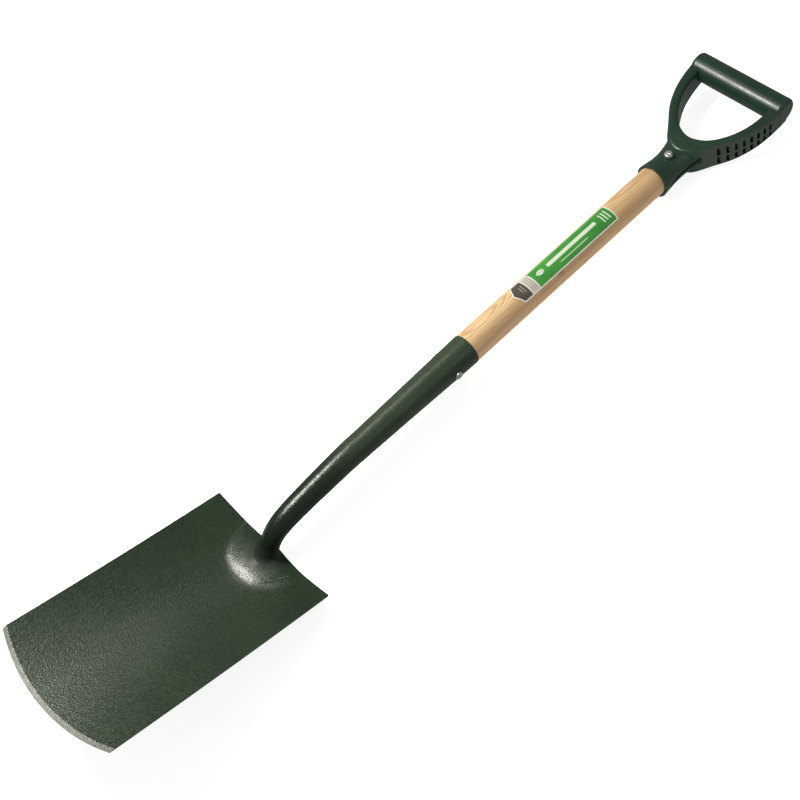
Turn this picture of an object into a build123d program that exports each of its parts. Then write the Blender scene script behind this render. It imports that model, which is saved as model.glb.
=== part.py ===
"""Garden spade: forged head, ash shaft, moulded D grip, a rivet, a screw and a printed sticker.

Millimetres. The spade lies on its back on the ground (Z = 0), face up, cutting edge at -X and
grip at +X. It touches the ground under the top edge of the blade and under the grip's collar.
"""
import os
from math import cos, exp, log, radians, sin

from build123d import *

os.makedirs("parts", exist_ok=True)

# blade
blade_length = 272.0       # corner to corner along one side
blade_width = 180.0
edge_bow = 17.5            # how far the cutting edge swells past its corners
crown = 7.0                # how far the top edge swells past its corners
gauge = 2.4                # sheet thickness
dish_at_edge = 13.0        # depth of the dish across the cutting edge
dish_at_top = 22.0         # depth of the dish across the top edge
sag = 1.9                  # hollow along the length
foot_from_edge = 267.0     # the neck rises from the blade here
mound_rise = 9.5           # low mound round the foot of the neck
mound_radius = 42.0
flare_rise = 9.0           # steeper flare close to the neck
flare_radius = 15.0
bevel_width = 5.0
bevel_depth = 1.4

# shaft line, seen from the blade
lift = 17.3                # shaft above the blade's own plane, degrees
line_start = (271.8, 31.2)
line_pitch = -2.660        # shaft against level ground, degrees
cone_start = 130.0         # from here the socket is a plain cone
mouth = 294.4              # mouth of the socket
grip_mouth = 614.4         # mouth of the D grip
socket_radius = 19.2       # outside, at the mouth
cone_start_radius = 15.3
neck_radius = 11.3
bore_radius = 17.2         # inside, at the mouth
bore_end_radius = 11.6
bore_depth = 208.0

# shaft
wood_radius = 18.7
tenon_radius = 14.0
tenon_length = 42.0

# D grip
collar_radius = 22.3
lean = 8.1                 # the D leans to the front of the shaft line
half_depth = 15.0          # the arms' front face over the D's own plane
back_depth = 31.6          # the arms' back, carried on to the collar's mouth, under that plane
back_taper = 6.2           # the back closes on the front towards the bar, degrees
bar_along = 166.0          # grip bar from the collar's mouth
bar_radius = 16.6
bar_half = 67.0
bar_forward = 3.0
arm_end = 168.0            # the arms run into the bar here
slot_columns = 8
slot_pitch = 8.9
slot_start = 77.0
slot_width = 3.9

# fastenings and label
socket_rivet_along = 263.0
socket_rivet_radius = 3.0
grip_screw_along = 31.5    # from the collar's mouth
grip_screw_radius = 2.5
fit_gap = 0.05
label_tip = 370.5          # along the shaft
label_shoulder = 378.0
label_end = 537.0
label_half = 43.0          # half the arc it wraps, degrees
label_turn = -4.0          # its centre line, degrees round from the front
label_thickness = 0.15

# ---------------------------------------------------------------- frames
pitch = lift - line_pitch
blade_origin = (-520.05, 0, 114.24)
blade_plane = Plane(
    origin=blade_origin,
    x_dir=(cos(radians(pitch)), 0, -sin(radians(pitch))),
    z_dir=(sin(radians(pitch)), 0, cos(radians(pitch))),
)


def spot(x, y, z):
    """Point given along, across and above the blade's corner plane."""
    return blade_plane.from_local_coords(Vector(x, y, z))


def heading(degrees_up):
    """Direction in the plane of symmetry, measured up from the blade's plane."""
    turn = radians(degrees_up - pitch)
    return Vector(cos(turn), 0, sin(turn))


# round things on the shaft are drawn on this plane, offset along the shaft
shaft_plane = Plane(
    origin=spot(line_start[0], 0, line_start[1]),
    x_dir=(0, 1, 0),
    z_dir=heading(lift),
)
collar = shaft_plane.offset(grip_mouth)
# the D's own plane: X along the D, Y across, Z to the front
d_plane = Plane(
    origin=collar.origin,
    x_dir=heading(lift + lean),
    z_dir=heading(lift + lean + 90),
)


# ---------------------------------------------------------------- head
def mound(x, y):
    """How far the blade rises round the foot of the neck: a low mound, then a steeper flare."""
    reach = ((x - foot_from_edge) ** 2 + y**2) ** 0.5
    slope_in = (mound_radius - reach) / 3
    low = mound_rise * (1 - exp(-0.14 * log(1 + exp(slope_in))))
    fade = 1 / (1 + exp((x - 270) / 3))
    return low * (0.35 + 0.65 * fade) + flare_rise * exp(-((reach / flare_radius) ** 2))


def face_height(x, y):
    """Height of the blade's front face over its corner plane."""
    across = 1 - (2 * y / blade_width) ** 2
    dish = dish_at_edge + (dish_at_top - dish_at_edge) * x / blade_length
    hollow = 4 * sag * x / blade_length * (1 - x / blade_length)
    return -dish * across - hollow + mound(x, y)


def bevel_height(x, y):
    """Height of the ground bevel: full depth at the cutting edge, level with the face behind it."""
    edge_x = -edge_bow * (1 - (2 * y / blade_width) ** 2)
    return face_height(x, y) - bevel_depth * (1 - (x - edge_x) / bevel_width)


columns = [-30 + 6 * i for i in range(54)]
rows = [-102 + 6 * j for j in range(35)]
front_face = Face.make_surface_from_array_of_points(
    [[spot(x, y, face_height(x, y)) for y in rows] for x in columns],
    tol=0.01,
    min_deg=3,
    max_deg=3,
)

# ground bevel: a second face that falls away from the front face towards the cutting edge
bevel_columns = [-36 + 8 * i for i in range(10)]
bevel_face = Face.make_surface_from_array_of_points(
    [[spot(x, y, bevel_height(x, y)) for y in rows] for x in bevel_columns],
    tol=0.01,
    min_deg=3,
    max_deg=3,
)

# centre line of the neck: out of the blade, steeply up, then over into the shaft line
neck_line = Spline(
    spot(226, 0, -22.1),
    spot(240, 0, -22.6),
    spot(253, 0, -20.5),
    spot(262.5, 0, -13),
    spot(267.5, 0, -3),
    spot(271.5, 0, 8),
    spot(279, 0, 18.6),
    spot(293, 0, 28.7),
    spot(316, 0, 39.8),
    spot(342, 0, 50.6),
    shaft_plane.offset(104).origin,
    shaft_plane.offset(cone_start).origin,
)
neck_sections = 20
half_width = blade_width / 2

# the cross rivet's own plane: Z across the spade, X along the shaft
socket_rivet_plane = Plane(
    origin=shaft_plane.offset(socket_rivet_along).origin,
    x_dir=heading(lift),
    z_dir=(0, 1, 0),
)
# the grip screw's plane: Z to the front of the D, level with the shaft's centre line
grip_screw_plane = Plane(
    origin=d_plane.from_local_coords(Vector(grip_screw_along, 0, 0)),
    x_dir=heading(lift + lean),
    z_dir=heading(lift + lean + 90),
)

with BuildPart() as blade_head:
    with BuildSketch(blade_plane.offset(-80)):
        with BuildLine():
            ThreePointArc((0, -half_width), (-edge_bow, 0), (0, half_width))
            Line((0, half_width), (blade_length, half_width))
            ThreePointArc(
                (blade_length, half_width),
                (blade_length + crown, 0),
                (blade_length, -half_width),
            )
            Line((blade_length, -half_width), (0, -half_width))
        make_face()
    extrude(amount=120)
    thicken(front_face, amount=-gauge, mode=Mode.INTERSECT)
    thicken(bevel_face, amount=12, mode=Mode.SUBTRACT)

    # neck: flat where it lies in the blade, round where it leaves it
    for i in range(neck_sections):
        part_way = i / (neck_sections - 1)
        along = part_way * neck_line.length
        root = exp(-((along / 26) ** 2))
        swell = 1 - exp(-((max(0, along - 56) / 22) ** 2))
        cone = max(0, along - 62) / (neck_line.length - 62)
        grown = 0.9 * swell + (cone_start_radius - neck_radius - 0.9) * cone
        thick = (neck_radius + grown) * (1 - root) + 1.1 * root
        wide = max((neck_radius + 0.3 + grown) * (1 - root) + 15 * root, thick + 0.02)
        section = Plane(
            origin=neck_line.position_at(part_way),
            x_dir=(0, 1, 0),
            z_dir=neck_line.tangent_at(part_way),
        )
        with BuildSketch(section):
            Ellipse(wide, thick)
    loft()

    # socket: a plain cone up to its mouth, bored for the shaft
    with BuildSketch(shaft_plane.offset(cone_start)):
        Circle(cone_start_radius)
    with BuildSketch(shaft_plane.offset(mouth)):
        Circle(socket_radius)
    loft(ruled=True)
    with BuildSketch(shaft_plane.offset(mouth - bore_depth)):
        Circle(bore_end_radius)
    with BuildSketch(shaft_plane.offset(mouth)):
        Circle(bore_radius)
    loft(ruled=True, mode=Mode.SUBTRACT)

    # smooth run from the neck into the blade, in front and behind
    foot = blade_head.edges().filter_by(lambda e: 75 < e.length < 110)
    foot = foot.filter_by(lambda e: blade_plane.to_local_coords(e.center()).X < 285)
    fillet(foot, radius=8)
    chamfer(blade_head.edges().filter_by(GeomType.CIRCLE).group_by(Axis.X)[-1], length=0.6)

    with BuildSketch(socket_rivet_plane):
        Circle(socket_rivet_radius + fit_gap)
    extrude(amount=40, both=True, mode=Mode.SUBTRACT)

blade_head.part.label = "blade_head"
export_step(blade_head.part, "parts/blade_head.step")


# ---------------------------------------------------------------- shaft
with BuildPart() as shaft:
    # tapered end driven into the socket
    with BuildSketch(shaft_plane.offset(mouth - bore_depth + 1)):
        Circle(bore_end_radius - fit_gap)
    with BuildSketch(shaft_plane.offset(mouth)):
        Circle(bore_radius - fit_gap)
    loft(ruled=True)
    # full size between the two mouths, with a shoulder at each
    with BuildSketch(shaft_plane.offset(mouth)):
        Circle(wood_radius)
    extrude(amount=grip_mouth - mouth)
    with BuildSketch(collar):
        Circle(tenon_radius)
    extrude(amount=tenon_length)
    chamfer(shaft.edges().filter_by(GeomType.CIRCLE).group_by(Axis.X)[-1], length=1.5)
    with BuildSketch(socket_rivet_plane):
        Circle(socket_rivet_radius + fit_gap)
    extrude(amount=40, both=True, mode=Mode.SUBTRACT)
    with BuildSketch(grip_screw_plane.offset(-4)):
        Circle(grip_screw_radius + fit_gap)
    extrude(amount=30, mode=Mode.SUBTRACT)

shaft.part.label = "shaft"
export_step(shaft.part, "parts/shaft.step")


# ---------------------------------------------------------------- D grip
def mirrored(points):
    """One side's outline run round to the other side, lowest point shared."""
    return [(x, -y) for x, y in reversed(points[1:])] + points


# one side's outline of the D and of its opening, along and across
outline = [
    (44, 0), (50, 17), (58.7, 25), (70.9, 33.5), (87.8, 46),
    (105.6, 55.5), (122.6, 61.5), (140, 65), (arm_end, 67),
]
opening = [
    (69, 0), (71, 10), (76.5, 20.5), (87, 31),
    (102, 40.5), (120, 47.5), (140, 51), (arm_end, 52.5),
]
back_plane = Plane(
    origin=d_plane.from_local_coords(Vector(0, 0, -back_depth)),
    x_dir=heading(lift + lean + back_taper),
    z_dir=heading(lift + lean + back_taper + 90),
)


def slot_outside(along):
    """Half the arms' width at a slot, from the collar's mouth up to the bar."""
    return 65.3 - 27.5 * (1 - (along - slot_start) / 68) ** 2


bar_plane = Plane(
    origin=d_plane.from_local_coords(Vector(bar_along, 0, bar_forward)),
    x_dir=heading(lift + lean),
    z_dir=heading(lift + lean + 90),
)

with BuildPart() as d_grip:
    # arms: a ring drawn twice and joined front to back
    with BuildSketch(back_plane):
        with BuildLine():
            Spline(*mirrored(outline))
            Line(outline[-1], (outline[-1][0], -outline[-1][1]))
        make_face()
    with BuildSketch(d_plane.offset(half_depth)):
        with BuildLine():
            Spline(*mirrored(outline))
            Line(outline[-1], (outline[-1][0], -outline[-1][1]))
        make_face()
    loft(ruled=True)
    with BuildSketch(d_plane.offset(-40)):
        with BuildLine():
            Spline(*mirrored(opening))
            Line(opening[-1], (opening[-1][0], -opening[-1][1]))
        make_face()
    extrude(amount=80, mode=Mode.SUBTRACT)
    rims = d_grip.edges().filter_by(lambda e: e.length > 200)
    front_rims = rims.filter_by(lambda e: d_plane.to_local_coords(e.center()).Z > 0)
    back_rims = rims.filter_by(lambda e: d_plane.to_local_coords(e.center()).Z < 0)
    fillet(front_rims, radius=4.5)
    fillet(back_rims, radius=1.5)

    # grip bar, turned about its own centre line, with rounded ends
    with BuildSketch(bar_plane):
        with Locations((bar_radius / 2, 0)):
            bar_half_section = Rectangle(bar_radius, 2 * bar_half)
        corners = bar_half_section.vertices()
        outward = corners.group_by(lambda v: bar_plane.to_local_coords(v.center()).X)
        fillet(outward[-1], radius=5)
    revolve(axis=Axis(bar_plane.origin, bar_plane.y_dir))

    # collar and neck, from a round mouth to the foot of the arms
    # each ring: along the D, its centre below the D's plane, half width, half thickness
    neck_rings = [
        (0, 0, collar_radius, collar_radius),
        (12.4, -1.7, 21.0, 20.8),
        (24.8, -3.5, 20.0, 19.6),
        (37.2, -4.4, 20.6, 18.8),
        (49.6, -4.9, 22.6, 18.9),
        (62, -5.2, 26.0, 18.4),
    ]
    for along, drop, wide, thick in neck_rings:
        tilt = lean * max(0, (along - 12) / 50)
        ring_plane = Plane(
            origin=d_plane.from_local_coords(Vector(along, 0, drop)),
            x_dir=(0, 1, 0),
            z_dir=heading(lift + tilt),
        )
        with BuildSketch(ring_plane):
            Ellipse(wide + 0.02, thick)
    loft()

    # two slim grooves down each side of the neck, a thin fin left between them
    # each groove: its height over the D's plane, its width
    for side in (-1, 1):
        for height, width in ((-2.6, 3.4), (-7.6, 2.6)):
            groove_plane = Plane(
                origin=d_plane.from_local_coords(Vector(34, side * 21, height)),
                x_dir=d_plane.from_local_coords(Vector(48, side * 5, 0)) - d_plane.origin,
                z_dir=d_plane.z_dir,
            )
            with BuildSketch(groove_plane.offset(-width / 2)):
                SlotOverall(54, 7)
            extrude(amount=width, mode=Mode.SUBTRACT)

    # two rows of slots down the outside of each arm
    for side in (-1, 1):
        for i in range(slot_columns):
            along = slot_start + i * slot_pitch
            part_way = i / (slot_columns - 1)
            # each slot: its middle over the D's plane, its length front to back
            upper = (2.0 + 1.0 * part_way, 13.0 - 3.0 * part_way)
            lower = (-13.7 + 4.2 * part_way, 11.5 - 3.5 * part_way)
            for height, tall in (upper, lower):
                with BuildSketch(d_plane.offset(height - tall / 2)):
                    with Locations((along, side * (slot_outside(along) - 0.5))):
                        Rectangle(slot_width, 10)
                extrude(amount=tall, mode=Mode.SUBTRACT)

    # blind socket for the shaft's end, and the screw's hole through its front wall
    with BuildSketch(collar):
        Circle(tenon_radius + fit_gap)
    extrude(amount=tenon_length + 0.5, mode=Mode.SUBTRACT)
    with BuildSketch(grip_screw_plane.offset(5)):
        Circle(grip_screw_radius + fit_gap)
    extrude(amount=30, mode=Mode.SUBTRACT)

d_grip.part.label = "d_grip"
export_step(d_grip.part, "parts/d_grip.step")

# ---------------------------------------------------------------- fastenings
rivet_reach = socket_radius * 0.96      # shank out to the socket's wall
rivet_head_radius = 4.9
rivet_head_height = 1.9

with BuildPart() as socket_rivet:
    # a domed head at each end, hollowed underneath so that it beds on the round wall
    for side in (-1, 1):
        head_plane = Plane(
            origin=socket_rivet_plane.offset(side * (rivet_reach - 1.2)).origin,
            x_dir=heading(lift),
            z_dir=(0, side, 0),
        )
        with BuildSketch(head_plane):
            Circle(rivet_head_radius)
        extrude(amount=rivet_head_height + 1.2)
        outer_rim = socket_rivet.edges().group_by(Axis.Y)[-1 if side > 0 else 0]
        fillet(outer_rim, radius=1.6)
    with BuildSketch(shaft_plane.offset(cone_start)):
        Circle(cone_start_radius)
    with BuildSketch(shaft_plane.offset(mouth)):
        Circle(socket_radius)
    loft(ruled=True, mode=Mode.SUBTRACT)
    with BuildSketch(socket_rivet_plane):
        Circle(socket_rivet_radius)
    extrude(amount=rivet_reach + 0.5, both=True)

socket_rivet.part.label = "socket_rivet"
export_step(socket_rivet.part, "parts/socket_rivet.step")

screw_seat = 18.2          # front wall of the neck under the screw's head
screw_head_radius = 5.1
screw_head_height = 2.6
screw_tip = 2.0            # the point stops just past the middle of the shaft

with BuildPart() as grip_screw:
    # the head beds on the round front of the neck
    with BuildSketch(grip_screw_plane.offset(screw_seat - 1.0)):
        Circle(screw_head_radius)
    extrude(amount=screw_head_height + 1.0)
    fillet(grip_screw.edges().group_by(Axis.Z)[-1], radius=2.0)
    add(d_grip.part, mode=Mode.SUBTRACT)
    with BuildSketch(grip_screw_plane.offset(screw_tip)):
        Circle(grip_screw_radius)
    extrude(amount=screw_seat + 0.5 - screw_tip)
    chamfer(grip_screw.edges().filter_by(GeomType.CIRCLE).group_by(Axis.Z)[0], length=1.2)
    with BuildSketch(grip_screw_plane.offset(screw_seat + screw_head_height)):
        Rectangle(5.0, 1.2)
        Rectangle(1.2, 5.0)
    extrude(amount=-1.4, mode=Mode.SUBTRACT)

grip_screw.part.label = "grip_screw"
export_step(grip_screw.part, "parts/grip_screw.step")


# ---------------------------------------------------------------- label
label_width = 2 * wood_radius * sin(radians(label_half))
label_plane = Plane(
    origin=shaft_plane.origin,
    x_dir=heading(lift),
    z_dir=Vector(0, sin(radians(label_turn)), 0) + heading(lift + 90) * cos(radians(label_turn)),
)

with BuildPart() as label:
    with BuildSketch(shaft_plane.offset(label_tip)):
        Circle(wood_radius + label_thickness)
        Circle(wood_radius, mode=Mode.SUBTRACT)
    extrude(amount=label_end - label_tip)
    with BuildSketch(label_plane):
        with BuildLine():
            Polyline(
                (label_tip, 0),
                (label_shoulder, label_width / 2),
                (label_end, label_width / 2),
                (label_end, -label_width / 2),
                (label_shoulder, -label_width / 2),
                close=True,
            )
        make_face()
    extrude(amount=40, mode=Mode.INTERSECT)

label.part.label = "label"
export_step(label.part, "parts/label.step")
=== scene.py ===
"""Looks of the garden spade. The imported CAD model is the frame; everything is in metres in that frame."""
from math import cos, radians, sin

import bpy
from mathutils import Matrix, Vector


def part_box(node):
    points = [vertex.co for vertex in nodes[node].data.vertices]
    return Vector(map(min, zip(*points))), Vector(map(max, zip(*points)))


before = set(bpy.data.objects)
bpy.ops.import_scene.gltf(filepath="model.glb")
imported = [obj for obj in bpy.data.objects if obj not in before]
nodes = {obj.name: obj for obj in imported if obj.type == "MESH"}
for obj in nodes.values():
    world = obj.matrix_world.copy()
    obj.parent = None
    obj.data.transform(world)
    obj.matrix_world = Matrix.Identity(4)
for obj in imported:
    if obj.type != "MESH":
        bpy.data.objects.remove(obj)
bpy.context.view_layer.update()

# ---------------------------------------------------------------- directions and places
SHAFT_PITCH = radians(-2.660)      # shaft against level ground
BLADE_PITCH = radians(-19.960)     # blade's own plane against level ground
GRIP_PITCH = radians(5.440)        # the D against level ground


def heading(angle):
    """Unit vector in the plane of symmetry, measured up from +X."""
    return Vector((cos(angle), 0, sin(angle)))


shaft_dir = heading(SHAFT_PITCH)
shaft_front = heading(SHAFT_PITCH + radians(90))
blade_dir = heading(BLADE_PITCH)
blade_front = heading(BLADE_PITCH + radians(90))
grip_dir = heading(GRIP_PITCH)
grip_front = heading(GRIP_PITCH + radians(90))

# the shaft's axis passes through the middle of the rivet
rivet_lo, rivet_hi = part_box("socket_rivet")
rivet_centre = (rivet_lo + rivet_hi) / 2
shaft_at_rivet = 0.263             # rivet's distance along the shaft line
shaft_origin = rivet_centre - shaft_dir * shaft_at_rivet
collar_mouth = shaft_origin + shaft_dir * 0.6144
blade_corner = Vector((-0.52005, 0, 0.11424))


# ---------------------------------------------------------------- node helpers
class Maker:
    """Short calls for building a material's node tree."""

    def __init__(self, name):
        self.material = bpy.data.materials.new(name)
        self.material.use_nodes = True
        self.tree = self.material.node_tree
        self.tree.nodes.clear()
        self.out = self.tree.nodes.new("ShaderNodeOutputMaterial")
        self.coords = self.tree.nodes.new("ShaderNodeTexCoord")

    def put(self, socket, value):
        """A socket is linked, anything else is a constant."""
        if isinstance(value, bpy.types.NodeSocket):
            self.tree.links.new(value, socket)
        else:
            socket.default_value = value

    def node(self, kind, inputs=None, **settings):
        """New node with its settings made and its inputs linked or set."""
        made = self.tree.nodes.new(kind)
        for key, value in settings.items():
            setattr(made, key, value)
        for key, value in (inputs or {}).items():
            self.put(made.inputs[key], value)
        return made

    def math(self, operation, a, b=0.0, c=0.0, clamp=False):
        """Number worked out from up to three others."""
        made = self.node("ShaderNodeMath", {0: a, 1: b, 2: c}, operation=operation, use_clamp=clamp)
        return made.outputs[0]

    def vector(self, operation, a, b=(0, 0, 0), output=0):
        """Vector, or with output=1 a number, worked out from two vectors."""
        made = self.node("ShaderNodeVectorMath", {0: a, 1: b}, operation=operation)
        return made.outputs[output]

    def ramp(self, value, low, high, to_low=0.0, to_high=1.0, smooth=True):
        """value taken from low..high to to_low..to_high, held at both ends."""
        made = self.node(
            "ShaderNodeMapRange",
            {0: value, 1: low, 2: high, 3: to_low, 4: to_high},
            interpolation_type="SMOOTHSTEP" if smooth else "LINEAR",
        )
        return made.outputs[0]

    def mix(self, share, a, b, blend="MIX"):
        """Colour a, with the given share of b."""
        made = self.node("ShaderNodeMix", data_type="RGBA", blend_type=blend)
        self.put(made.inputs[0], share)
        self.put(made.inputs[6], a)
        self.put(made.inputs[7], b)
        return made.outputs[2]

    def noise(self, place, scale, detail=3.0, roughness=0.5, distortion=0.0):
        """Smooth random value, about 0 to 1."""
        made = self.node(
            "ShaderNodeTexNoise",
            {
                "Vector": place,
                "Scale": scale,
                "Detail": detail,
                "Roughness": roughness,
                "Distortion": distortion,
            },
        )
        return made.outputs[0]

    def distance(self, x, y):
        """Length of the flat vector (x, y)."""
        squares = self.math("ADD", self.math("MULTIPLY", x, x), self.math("MULTIPLY", y, y))
        return self.math("SQRT", squares)

    def cells(self, place, scale, feature="F1", smoothness=0.3, output="Distance"):
        """Cell pattern: distance to the nearest cell's middle, or a colour for each cell."""
        made = self.node("ShaderNodeTexVoronoi", {"Vector": place, "Scale": scale}, feature=feature)
        if feature == "SMOOTH_F1":
            made.inputs["Smoothness"].default_value = smoothness
        return made.outputs[output]

    def local(self, origin, along, across, up):
        """Position given along three directions from an origin: three numbers and the three together."""
        place = self.vector("SUBTRACT", self.coords.outputs["Object"], tuple(origin))
        numbers = [self.vector("DOT_PRODUCT", place, tuple(d), output=1) for d in (along, across, up)]
        joined = self.node("ShaderNodeCombineXYZ", {0: numbers[0], 1: numbers[1], 2: numbers[2]}).outputs[0]
        return (*numbers, joined)

    def stretched(self, place, x, y, z):
        """Place with its three numbers scaled apart, for patterns that run one way."""
        return self.vector("MULTIPLY", place, (x, y, z))

    def bump(self, height, distance, strength=1.0, normal=None):
        """Normal tilted as if the surface rose by height times distance."""
        made = self.node("ShaderNodeBump", {"Height": height, "Distance": distance, "Strength": strength})
        if normal is not None:
            self.put(made.inputs["Normal"], normal)
        return made.outputs[0]

    def finish(self, **inputs):
        """Principled shader with the given sockets, spaces in their names written as underscores."""
        shader = self.node("ShaderNodeBsdfPrincipled")
        for key, value in inputs.items():
            self.put(shader.inputs[key.replace("_", " ")], value)
        self.tree.links.new(shader.outputs[0], self.out.inputs[0])
        return self.material


def rgb(red, green, blue):
    """Screen colour, 0 to 255, as a linear colour."""
    def linear(c):
        c /= 255
        return c / 12.92 if c <= 0.04045 else ((c + 0.055) / 1.055) ** 2.4
    return (linear(red), linear(green), linear(blue), 1.0)


# ---------------------------------------------------------------- materials
def hammered_paint():
    """Dark green hammered enamel: small dimples, fine speckle, ground edge left thinly coated."""
    m = Maker("hammered_paint")
    along, across, up, place = m.local(blade_corner, blade_dir, (0, 1, 0), blade_front)

    dimples = m.cells(place, 620.0, "SMOOTH_F1", 0.45)
    wander = m.noise(place, 260.0, 3.0, 0.55)
    fine = m.noise(place, 1500.0, 2.0, 0.6)
    broad = m.noise(place, 14.0, 3.0, 0.55)
    height = m.math("ADD", m.math("MULTIPLY", dimples, 0.9), m.math("MULTIPLY", wander, 0.8))
    height = m.math("ADD", height, m.math("MULTIPLY", fine, 0.25))
    height = m.math("MULTIPLY", height, m.ramp(along, 0.200, 0.015, 0.7, 1.1))
    cast = m.math("MULTIPLY", m.noise(place, 150.0, 4.0, 0.65), m.ramp(along, 0.300, 0.420))
    height = m.math("ADD", height, m.math("MULTIPLY", cast, 1.6))

    green = m.mix(m.ramp(broad, 0.35, 0.65), rgb(28, 43, 27), rgb(34, 50, 32))
    flakes = m.ramp(m.cells(place, 900.0, output="Color"), 0.62, 0.95)
    near_edge = m.ramp(along, 0.200, 0.015)
    speckle = m.math("ADD", m.math("MULTIPLY", near_edge, 0.50), 0.20)
    green = m.mix(m.math("MULTIPLY", flakes, speckle), green, rgb(74, 88, 70))
    # painted shade: the dimples' hollows are darkened
    pit_shade = m.ramp(dimples, 0.16, 0.02)
    green = m.mix(m.math("MULTIPLY", pit_shade, 0.35), green, rgb(16, 28, 18))

    # the socket's coat is a little paler, mottled and rougher; the paling is strongest on its +Y side,
    # which faces the lamps, and is partly painted sheen
    socket_lit_side = m.math("MULTIPLY", m.ramp(along, 0.300, 0.380), m.ramp(across, -0.014, 0.0, 0.2, 1.0))
    mottle = m.ramp(m.noise(place, 300.0, 4.0, 0.65), 0.35, 0.68)
    mottle_and_painted_sheen = m.math("MULTIPLY", socket_lit_side, m.math("ADD", m.math("MULTIPLY", mottle, 0.35), 0.42))
    green = m.mix(mottle_and_painted_sheen, green, rgb(62, 75, 56))

    # ground band behind the cutting edge
    half_width, edge_swell = 0.09, 0.0175
    side = m.math("DIVIDE", across, half_width)
    past_side = m.math("SUBTRACT", 1.0, m.math("MULTIPLY", side, side))
    edge_line = m.math("MULTIPLY", past_side, -edge_swell)
    behind_edge = m.math("SUBTRACT", along, edge_line)
    ragged = m.math("MULTIPLY", m.math("SUBTRACT", m.noise(place, 180.0, 2.0), 0.5), 0.0012)
    ground = m.ramp(m.math("ADD", behind_edge, ragged), 0.0047, 0.0040)
    scratches = m.noise(m.stretched(place, 900.0, 60.0, 60.0), 1.0, 2.0)
    band = m.mix(m.ramp(scratches, 0.3, 0.7), rgb(72, 79, 63), rgb(102, 107, 90))
    colour = m.mix(ground, green, band)

    # crease where the mound round the neck's foot lifts off the blade
    rim_along, rim_across, rim_half, rim_depth = 0.2315, 0.004, 0.041, 0.034
    out = m.math("DIVIDE", m.math("ABSOLUTE", m.math("ADD", across, -rim_across)), rim_half)
    bend = m.math("MULTIPLY", m.math("POWER", out, 3.3), rim_depth)
    inside_crease = m.math("SUBTRACT", m.math("SUBTRACT", along, bend), rim_along)
    uneven = m.math("MULTIPLY", m.math("SUBTRACT", m.noise(place, 70.0, 2.0), 0.5), 0.004)
    crease = m.ramp(m.math("ADD", inside_crease, uneven), -0.0075, 0.0055)
    # the mound flattens between its rim and the neck
    neck_foot = 0.267
    from_foot = m.distance(m.math("SUBTRACT", along, neck_foot), across)
    crease = m.math("SUBTRACT", crease, m.math("MULTIPLY", m.ramp(from_foot, 0.031, 0.015), 1.2))
    crease = m.math("MULTIPLY", crease, m.ramp(up, 0.004, 0.000))
    # painted glint: a pale broken line along the crease's ridge, where the key lamp catches it
    crease_glint = m.ramp(m.math("ABSOLUTE", inside_crease), 0.0022, 0.0004)
    crease_glint = m.math("MULTIPLY", crease_glint, m.ramp(up, 0.000, -0.004))
    crease_glint = m.math("MULTIPLY", crease_glint, m.ramp(m.math("ABSOLUTE", across), 0.040, 0.034))
    crease_glint = m.math("MULTIPLY", crease_glint, m.ramp(m.noise(place, 420.0, 3.0, 0.7), 0.46, 0.60))
    colour = m.mix(m.math("MULTIPLY", crease_glint, 0.50), colour, rgb(150, 156, 138))

    # painted shade: darker close round the neck's foot and up the neck; also duller there
    near_foot = m.ramp(from_foot, 0.030, 0.019)
    up_neck = m.math("MULTIPLY", m.ramp(along, 0.255, 0.275), m.ramp(along, 0.400, 0.330))
    off_blade = m.ramp(m.math("ABSOLUTE", across), 0.026, 0.018)
    painted_neck_shade = m.math("MAXIMUM", near_foot, m.math("MULTIPLY", up_neck, off_blade))
    colour = m.mix(m.math("MULTIPLY", painted_neck_shade, 0.75), colour, rgb(15, 27, 15))
    rough = m.ramp(wander, 0.3, 0.7, 0.25, 0.35)
    dull = m.math("MULTIPLY", near_foot, m.ramp(up, 0.006, -0.002))
    rough = m.math("ADD", rough, m.math("MULTIPLY", dull, 0.38))
    rough = m.math("ADD", rough, m.math("MULTIPLY", ground, 0.12))
    return m.finish(
        Base_Color=colour,
        Roughness=rough,
        Specular_IOR_Level=0.42,
        Coat_Weight=0.06,
        Coat_Roughness=0.2,
        Normal=m.bump(height, 0.00025, 0.9, m.bump(crease, 0.0010, 1.0)),
    )


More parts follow.
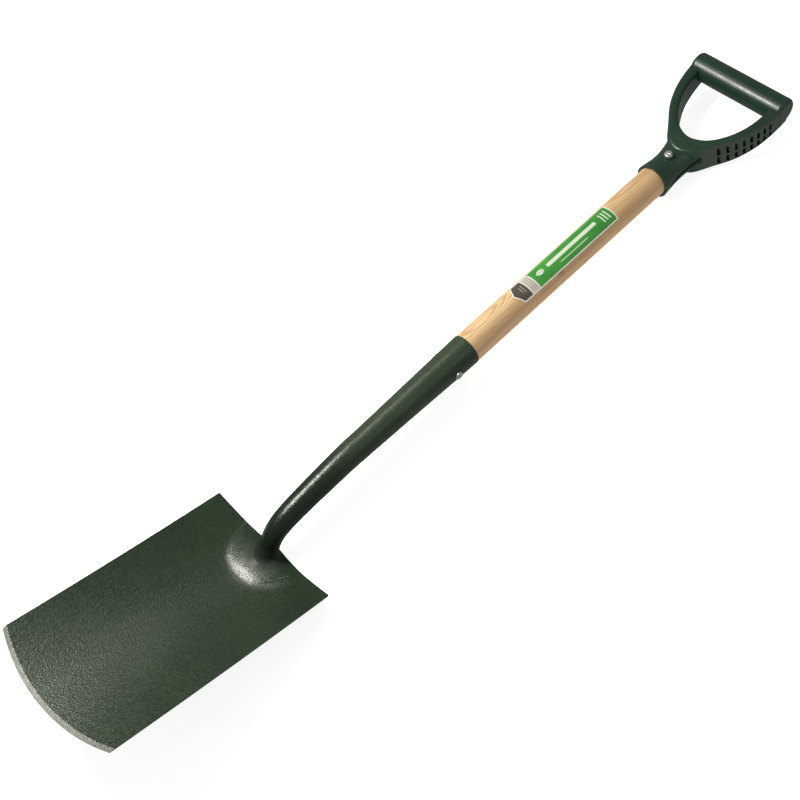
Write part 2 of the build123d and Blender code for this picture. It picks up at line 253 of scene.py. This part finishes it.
def ash_wood():
    """Pale lacquered ash: long grain, cathedral rings, open pores."""
    m = Maker("ash_wood")
    along, across, up, place = m.local(shaft_origin, shaft_dir, (0, 1, 0), shaft_front)
    drift = m.noise(m.stretched(place, 3.0, 22.0, 22.0), 1.0, 2.0)
    bend = m.noise(m.stretched(place, 5.0, 12.0, 12.0), 1.0, 1.5)
    depth = m.math("ADD", m.math("MULTIPLY", across, 0.55), m.math("MULTIPLY", up, 0.85))
    depth = m.math("ADD", depth, m.math("MULTIPLY", bend, 0.034))
    depth = m.math("ADD", depth, m.math("MULTIPLY", along, 0.012))
    rings = m.math("SINE", m.math("MULTIPLY", depth, 3300.0))
    rings = m.ramp(rings, -0.4, 1.0)
    pores = m.noise(m.stretched(place, 90.0, 2600.0, 2600.0), 1.0, 3.0, 0.6)
    fibres = m.noise(m.stretched(place, 25.0, 900.0, 900.0), 1.0, 3.0, 0.6)
    pore_mask = m.ramp(pores, 0.60, 0.74)

    wood = m.mix(m.ramp(drift, 0.3, 0.7), rgb(236, 206, 160), rgb(222, 188, 140))
    wood = m.mix(m.math("MULTIPLY", rings, 0.6), wood, rgb(178, 137, 90))
    wood = m.mix(m.math("MULTIPLY", m.ramp(fibres, 0.35, 0.75), 0.30), wood, rgb(232, 208, 168))
    wood = m.mix(m.math("MULTIPLY", m.math("MULTIPLY", pore_mask, rings), 0.6), wood, rgb(136, 92, 50))
    streaks = m.noise(m.stretched(place, 9.0, 330.0, 330.0), 1.0, 4.0, 0.75)
    wood = m.mix(m.math("MULTIPLY", m.ramp(streaks, 0.46, 0.62), 0.42), wood, rgb(170, 124, 76))
    # painted shade: the pole's -Y side, away from the lamps, is mixed towards a darker brown, broken by the
    # fibres
    painted_side_shade = m.math("MULTIPLY", m.ramp(across, -0.002, -0.013), m.ramp(fibres, 0.25, 0.75, 0.75, 1.0))
    wood = m.mix(m.math("MULTIPLY", painted_side_shade, 0.50), wood, rgb(156, 112, 78))
    knot_along, knot_across, knot_length = 0.4360, 0.0135, 0.6
    knot_x = m.math("MULTIPLY", m.math("SUBTRACT", along, knot_along), knot_length)
    knot_y = m.math("ADD", across, knot_across)
    from_knot = m.distance(knot_x, knot_y)
    knot = m.math("MULTIPLY", m.ramp(from_knot, 0.0048, 0.0010), m.ramp(up, -0.002, 0.004))
    wood = m.mix(m.math("MULTIPLY", knot, 0.55), wood, rgb(136, 90, 52))
    height = m.math("SUBTRACT", m.math("MULTIPLY", fibres, 0.5), pore_mask)
    return m.finish(
        Base_Color=wood,
        Roughness=m.ramp(fibres, 0.3, 0.7, 0.36, 0.48),
        Coat_Weight=0.12,
        Coat_Roughness=0.3,
        Normal=m.bump(height, 0.00006, 0.5),
    )


def green_plastic():
    """Moulded dark green plastic: glossy front and opening, matt textured flanks."""
    m = Maker("green_plastic")
    along, across, up, place = m.local(collar_mouth, grip_dir, (0, 1, 0), grip_front)
    normal = m.coords.outputs["Normal"]
    forward = m.math("ABSOLUTE", m.vector("DOT_PRODUCT", normal, tuple(grip_front), output=1))
    # outwards from the middle of the hand hole
    hole_middle = 0.118
    from_middle = m.math("SUBTRACT", along, hole_middle)
    from_hole = m.node("ShaderNodeCombineXYZ", {0: from_middle, 1: across}).outputs[0]
    outward_x = m.vector("DOT_PRODUCT", normal, tuple(grip_dir), output=1)
    outward_y = m.vector("DOT_PRODUCT", normal, (0, 1, 0), output=1)
    flat_normal = m.node("ShaderNodeCombineXYZ", {0: outward_x, 1: outward_y}).outputs[0]
    outward = m.vector("DOT_PRODUCT", from_hole, flat_normal, output=1)
    flank = m.math("MULTIPLY", m.ramp(outward, 0.004, 0.014), m.ramp(forward, 0.80, 0.62))
    on_arm = m.math("MULTIPLY", m.ramp(along, 0.050, 0.066), m.ramp(along, 0.160, 0.152))
    matt = m.math("MULTIPLY", flank, on_arm)

    grain = m.noise(place, 1400.0, 3.0, 0.6)
    skin = m.noise(place, 90.0, 2.0)
    cloud = m.noise(place, 35.0, 3.0)
    green = m.mix(m.ramp(cloud, 0.35, 0.65), rgb(28, 54, 39), rgb(34, 61, 45))
    flank_green = m.mix(m.ramp(grain, 0.35, 0.65), rgb(46, 58, 48), rgb(64, 74, 63))
    # blind slots of the flanks, painted dark inside as shade
    arm_start, arm_length, arm_half, arm_spread = 0.077, 0.068, 0.0653, 0.0275
    run = m.math("DIVIDE", m.math("SUBTRACT", along, arm_start), arm_length)
    left = m.math("SUBTRACT", 1.0, run)
    narrowing = m.math("MULTIPLY", m.math("MULTIPLY", left, left), arm_spread)
    outside = m.math("SUBTRACT", arm_half, narrowing)
    sunk = m.math("SUBTRACT", outside, m.math("ABSOLUTE", across))
    painted_slot_shade = m.math("MULTIPLY", m.ramp(sunk, 0.0012, 0.0026), m.ramp(sunk, 0.0090, 0.0080))
    first_to_last = m.math("MULTIPLY", m.ramp(along, 0.0735, 0.0745), m.ramp(along, 0.1425, 0.1415))
    front_to_back = m.math("MULTIPLY", m.ramp(up, 0.0092, 0.0086), m.ramp(up, -0.0200, -0.0194))
    painted_slot_shade = m.math("MULTIPLY", painted_slot_shade, first_to_last)
    painted_slot_shade = m.math("MULTIPLY", painted_slot_shade, front_to_back)
    scuffs = m.ramp(m.noise(m.stretched(place, 60.0, 300.0, 300.0), 1.0, 4.0, 0.7), 0.66, 0.82)
    colour = m.mix(m.math("MULTIPLY", matt, 0.85), green, flank_green)
    colour = m.mix(m.math("MULTIPLY", scuffs, 0.12), colour, rgb(84, 104, 92))
    colour = m.mix(m.math("MULTIPLY", painted_slot_shade, 0.92), colour, rgb(6, 9, 7))
    rough = m.ramp(skin, 0.3, 0.7, 0.29, 0.36)
    rough = m.math("ADD", rough, m.math("MULTIPLY", matt, 0.40))
    rough = m.math("ADD", rough, m.math("MULTIPLY", scuffs, 0.08))
    grain_depth = m.math("ADD", m.math("MULTIPLY", matt, 0.9), 0.04)
    height = m.math("ADD", m.math("MULTIPLY", skin, 0.6), m.math("MULTIPLY", grain, grain_depth))
    return m.finish(
        Base_Color=colour,
        Roughness=rough,
        Specular_IOR_Level=0.5,
        Normal=m.bump(height, 0.00012, 0.6),
    )


def rivet_steel():
    """Zinc-plated steel with fine turning marks and a little tarnish."""
    m = Maker("rivet_steel")
    place = m.coords.outputs["Object"]
    marks = m.noise(m.stretched(place, 700.0, 2500.0, 2500.0), 1.0, 2.0)
    tarnish = m.noise(place, 420.0, 3.0, 0.6)
    colour = m.mix(m.ramp(tarnish, 0.35, 0.7), rgb(214, 214, 210), rgb(176, 176, 170))
    return m.finish(
        Base_Color=colour,
        Metallic=0.85,
        Roughness=m.ramp(marks, 0.3, 0.7, 0.28, 0.44),
        Normal=m.bump(marks, 0.00004, 0.5),
    )


def label_paper():
    """Printed sticker: white border, green field, pale band, dark pointed end, plain bars for graphics."""
    m = Maker("label_paper")
    along, across, up, place = m.local(shaft_origin, shaft_dir, (0, 1, 0), shaft_front)
    angle = m.math("ARCTAN2", across, up)
    radius, turned, half_angle = 0.0187, radians(4.0), radians(43.0)
    around = m.math("MULTIPLY", m.math("ADD", angle, turned), radius)    # arc from the label's middle
    off_middle = m.math("ABSOLUTE", around)
    half = radius * half_angle
    tip, shoulder = 0.3705, 0.378
    blur = 0.00012                     # half width of a printed edge

    fibre = m.noise(place, 1300.0, 2.0)

    def inside(low, high, value=along, soft=blur):
        """1 between low and high."""
        past_low = m.ramp(value, low - soft, low + soft)
        return m.math("MULTIPLY", past_low, m.ramp(value, high + soft, high - soft))

    def below(value, limit, soft=blur):
        """1 under the limit."""
        return m.ramp(value, limit + soft, limit - soft)

    border = below(off_middle, half - 0.0014)
    # slope of the pointed end, as a limit on the distance along
    point_line = m.math("ADD", m.math("MULTIPLY", off_middle, (shoulder - tip) / half), tip + 0.0016)
    past_point = m.ramp(m.math("SUBTRACT", along, point_line), -blur, blur)

    white = m.mix(fibre, rgb(226, 226, 220), rgb(238, 238, 234))
    green = m.mix(m.ramp(m.noise(place, 60.0, 2.0), 0.3, 0.7), rgb(52, 140, 48), rgb(66, 152, 60))
    green = m.mix(m.math("MULTIPLY", m.ramp(along, 0.404, 0.534), 0.35), green, rgb(44, 126, 44))
    pale = rgb(196, 190, 180)
    dark = m.mix(m.ramp(m.noise(place, 400.0, 2.0), 0.35, 0.65), rgb(70, 62, 56), rgb(84, 75, 68))

    colour = m.mix(m.math("MULTIPLY", border, inside(0.4045, 0.5355)), white, green)
    colour = m.mix(m.math("MULTIPLY", border, inside(0.3925, 0.4035)), colour, pale)

    def bar(low, high, centre, thick):
        """1 on a straight bar along the shaft, centred at an arc from the label's middle."""
        return m.math("MULTIPLY", inside(low, high), inside(centre - thick / 2, centre + thick / 2, around))

    # plain printed shapes: a leaf and a long bar down the green field, thin rules beside them
    leaf_along = m.math("DIVIDE", m.math("SUBTRACT", along, 0.4165), 0.0062)
    leaf_taper = m.math("SUBTRACT", 1.0, m.math("MULTIPLY", leaf_along, leaf_along))
    leaf_half = m.math("MULTIPLY", leaf_taper, 0.0034)
    off_leaf = m.math("ABSOLUTE", m.math("SUBTRACT", around, 0.0012))
    leaf = m.ramp(m.math("SUBTRACT", leaf_half, off_leaf), -blur, blur)
    leaf = m.math("SUBTRACT", leaf, bar(0.4125, 0.4225, 0.0012, 0.0007), clamp=True)
    printed = m.math("MAXIMUM", leaf, bar(0.4285, 0.5110, 0.0014, 0.0048))
    printed = m.math("MAXIMUM", printed, bar(0.4440, 0.4900, -0.0062, 0.0010))
    for step in range(3):
        start = 0.5200 + 0.0045 * step
        printed = m.math("MAXIMUM", printed, bar(start, start + 0.0018, 0.0, 0.0135))
    colour = m.mix(m.math("MULTIPLY", printed, 0.9), colour, rgb(222, 230, 214))
    rules = m.math("MAXIMUM", bar(0.3945, 0.3957, 0.0, 0.0190), bar(0.3975, 0.3987, 0.0, 0.0190))
    rules = m.math("MAXIMUM", rules, bar(0.4005, 0.4017, 0.0, 0.0190))
    colour = m.mix(m.math("MULTIPLY", rules, 0.6), colour, rgb(120, 112, 104))

    dark_area = m.math("MULTIPLY", m.math("MULTIPLY", border, past_point), below(along, 0.3915))
    colour = m.mix(dark_area, colour, dark)
    marks = m.math("MAXIMUM", bar(0.3830, 0.3842, 0.0, 0.0080), bar(0.3865, 0.3877, 0.0, 0.0110))
    colour = m.mix(m.math("MULTIPLY", marks, 0.55), colour, rgb(190, 184, 176))

    return m.finish(
        Base_Color=colour,
        Roughness=m.ramp(fibre, 0.3, 0.7, 0.42, 0.52),
        Coat_Weight=0.2,
        Coat_Roughness=0.25,
        Normal=m.bump(fibre, 0.00003, 0.4),
    )


def paint_node(name, material):
    """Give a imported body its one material."""
    made = nodes[name]
    made.data.materials.clear()
    made.data.materials.append(material)


steel = rivet_steel()
paint_node("blade_head", hammered_paint())
paint_node("shaft", ash_wood())
paint_node("d_grip", green_plastic())
paint_node("socket_rivet", steel)
paint_node("grip_screw", steel)
paint_node("label", label_paper())


# ---------------------------------------------------------------- studio
def plain(name, colour, roughness, glow):
    """Barely clouded plain colour with a white glow of its own."""
    m = Maker(name)
    cloud = m.noise(m.coords.outputs["Object"], 3.0, 2.0)
    tint = m.mix(m.math("MULTIPLY", cloud, 0.15), colour, tuple(c * 0.985 for c in colour[:3]) + (1.0,))
    return m.finish(
        Base_Color=tint,
        Roughness=roughness,
        Emission_Color=(1.0, 1.0, 1.0, 1.0),
        Emission_Strength=glow,
    )


floor_mesh = bpy.data.meshes.new("floor")
reach = 6.0
corners = [(-reach, -reach, 0), (reach, -reach, 0), (reach, reach, 0), (-reach, reach, 0)]
floor_mesh.from_pydata(corners, [], [(0, 1, 2, 3)])
floor = bpy.data.objects.new("floor", floor_mesh)
bpy.context.scene.collection.objects.link(floor)
floor_mesh.materials.append(plain("floor_white", (0.90, 0.90, 0.90, 1.0), roughness=0.9, glow=0.80))
floor.visible_glossy = False

world = bpy.data.worlds.new("studio")
bpy.context.scene.world = world
world.use_nodes = True
world.node_tree.nodes["Background"].inputs[0].default_value = (1.0, 1.0, 1.0, 1.0)
world.node_tree.nodes["Background"].inputs[1].default_value = 0.22


def softbox(name, place, target, width, height, power):
    """Rectangular warm white lamp at a place, turned to face a target; power in watts."""
    lamp = bpy.data.lights.new(name, "AREA")
    lamp.shape = "RECTANGLE"
    lamp.size, lamp.size_y = width, height
    lamp.energy = power
    lamp.color = (1.0, 0.965, 0.90)
    made = bpy.data.objects.new(name, lamp)
    made.location = place
    made.rotation_mode = "QUATERNION"
    made.rotation_quaternion = (Vector(target) - Vector(place)).to_track_quat("-Z", "Y")
    bpy.context.scene.collection.objects.link(made)


softbox("key", (-0.25, 0.53, 1.09), (-0.12, 0.0, 0.05), width=0.36, height=0.22, power=17)
softbox("fill", (0.9, -1.5, 1.6), (0.2, 0.0, 0.0), width=1.2, height=1.2, power=2.5)
softbox("top", (0.28, 0.60, 1.08), (0.20, 0.0, 0.05), width=0.34, height=0.26, power=1.4)

camera_data = bpy.data.cameras.new("camera")
camera = bpy.data.objects.new("camera", camera_data)
bpy.context.scene.collection.objects.link(camera)
right = Vector((0.70268, -0.69417, -0.15612))
up = Vector((0.66214, 0.55769, 0.50055))
back = right.cross(up)
up = back.cross(right)
camera.matrix_world = Matrix.Translation((-0.42303, -0.63099, 1.23796)) @ Matrix(
    (right.normalized(), up.normalized(), back.normalized())
).transposed().to_4x4()
camera_data.sensor_width = 36.0
camera_data.lens = 57.359
camera_data.clip_start = 0.05
camera_data.clip_end = 50.0
bpy.context.scene.camera = camera
bpy.context.scene.view_settings.view_transform = "Standard"
